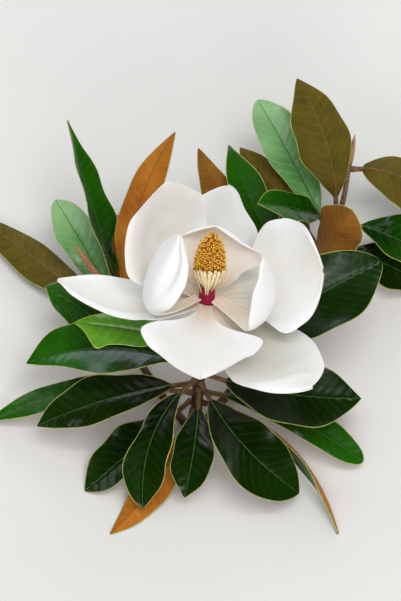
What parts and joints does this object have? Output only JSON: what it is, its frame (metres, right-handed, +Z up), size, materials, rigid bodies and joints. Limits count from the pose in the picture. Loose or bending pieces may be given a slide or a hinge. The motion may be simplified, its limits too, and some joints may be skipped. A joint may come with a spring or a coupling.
{
  "type": "cut magnolia sprig",
  "caption": "Cut flowering sprig of evergreen magnolia lying down: a forked twig with leathery leaves, rusty beneath, and a white open flower.",
  "frame": {"origin": "middle of the footprint, on the level surface that the sprig lies on", "axes": "+Z up; the cut end of the twig points to -Y and the two side shoots spread to +Y; +X runs across the leaves"},
  "size_m": [0.4113, 0.3638, 0.1815],
  "materials": {
    "bark": "rough brown bark, felted near the tips",
    "torus": "matte crimson plant tissue",
    "stamens": "satin cream plant tissue",
    "carpels": "waxy golden plant tissue",
    "tepal": "waxy white petal",
    "leaf_top": "glossy dark green leaf",
    "leaf_underside": "matte felted rusty brown leaf",
    "bud": "felted tan bud"
  },
  "bodies": {
    "root": {"twig": "bark", "left_shoot": "bark", "right_shoot": "bark", "torus": "torus", "stamens": "stamens", "cone": "carpels", "tepal_outer_left": "tepal", "tepal_outer_back": "tepal", "tepal_outer_right": "tepal", "tepal_middle_left": "tepal", "tepal_middle_right": "tepal", "tepal_middle_front": "tepal", "tepal_inner_back": "tepal", "tepal_inner_left": "tepal", "tepal_inner_right": "tepal", "leaf_01": "leaf_top", "leaf_02": "leaf_top", "leaf_03": "leaf_underside", "leaf_04": "leaf_underside", "leaf_05": "leaf_underside", "leaf_06": "leaf_top", "leaf_07": "leaf_top", "leaf_08": "leaf_top", "leaf_09": "leaf_top", "leaf_10": "leaf_top", "leaf_11": "leaf_top", "leaf_12": "leaf_top", "leaf_13": "leaf_underside", "leaf_14": "leaf_top", "leaf_15": "leaf_top", "leaf_16": "leaf_underside", "leaf_17": "leaf_top", "leaf_18": "leaf_top", "leaf_19": "leaf_top", "leaf_20": "leaf_underside", "leaf_21": "leaf_top", "leaf_22": "leaf_top", "leaf_23": "leaf_underside", "leaf_24": "leaf_underside", "leaf_25": "leaf_underside", "leaf_26": "leaf_underside", "leaf_27": "leaf_top", "leaf_28": "leaf_top", "leaf_29": "leaf_top", "bud_left": "bud", "bud_right": "bud"}
  },
  "joints": []
}
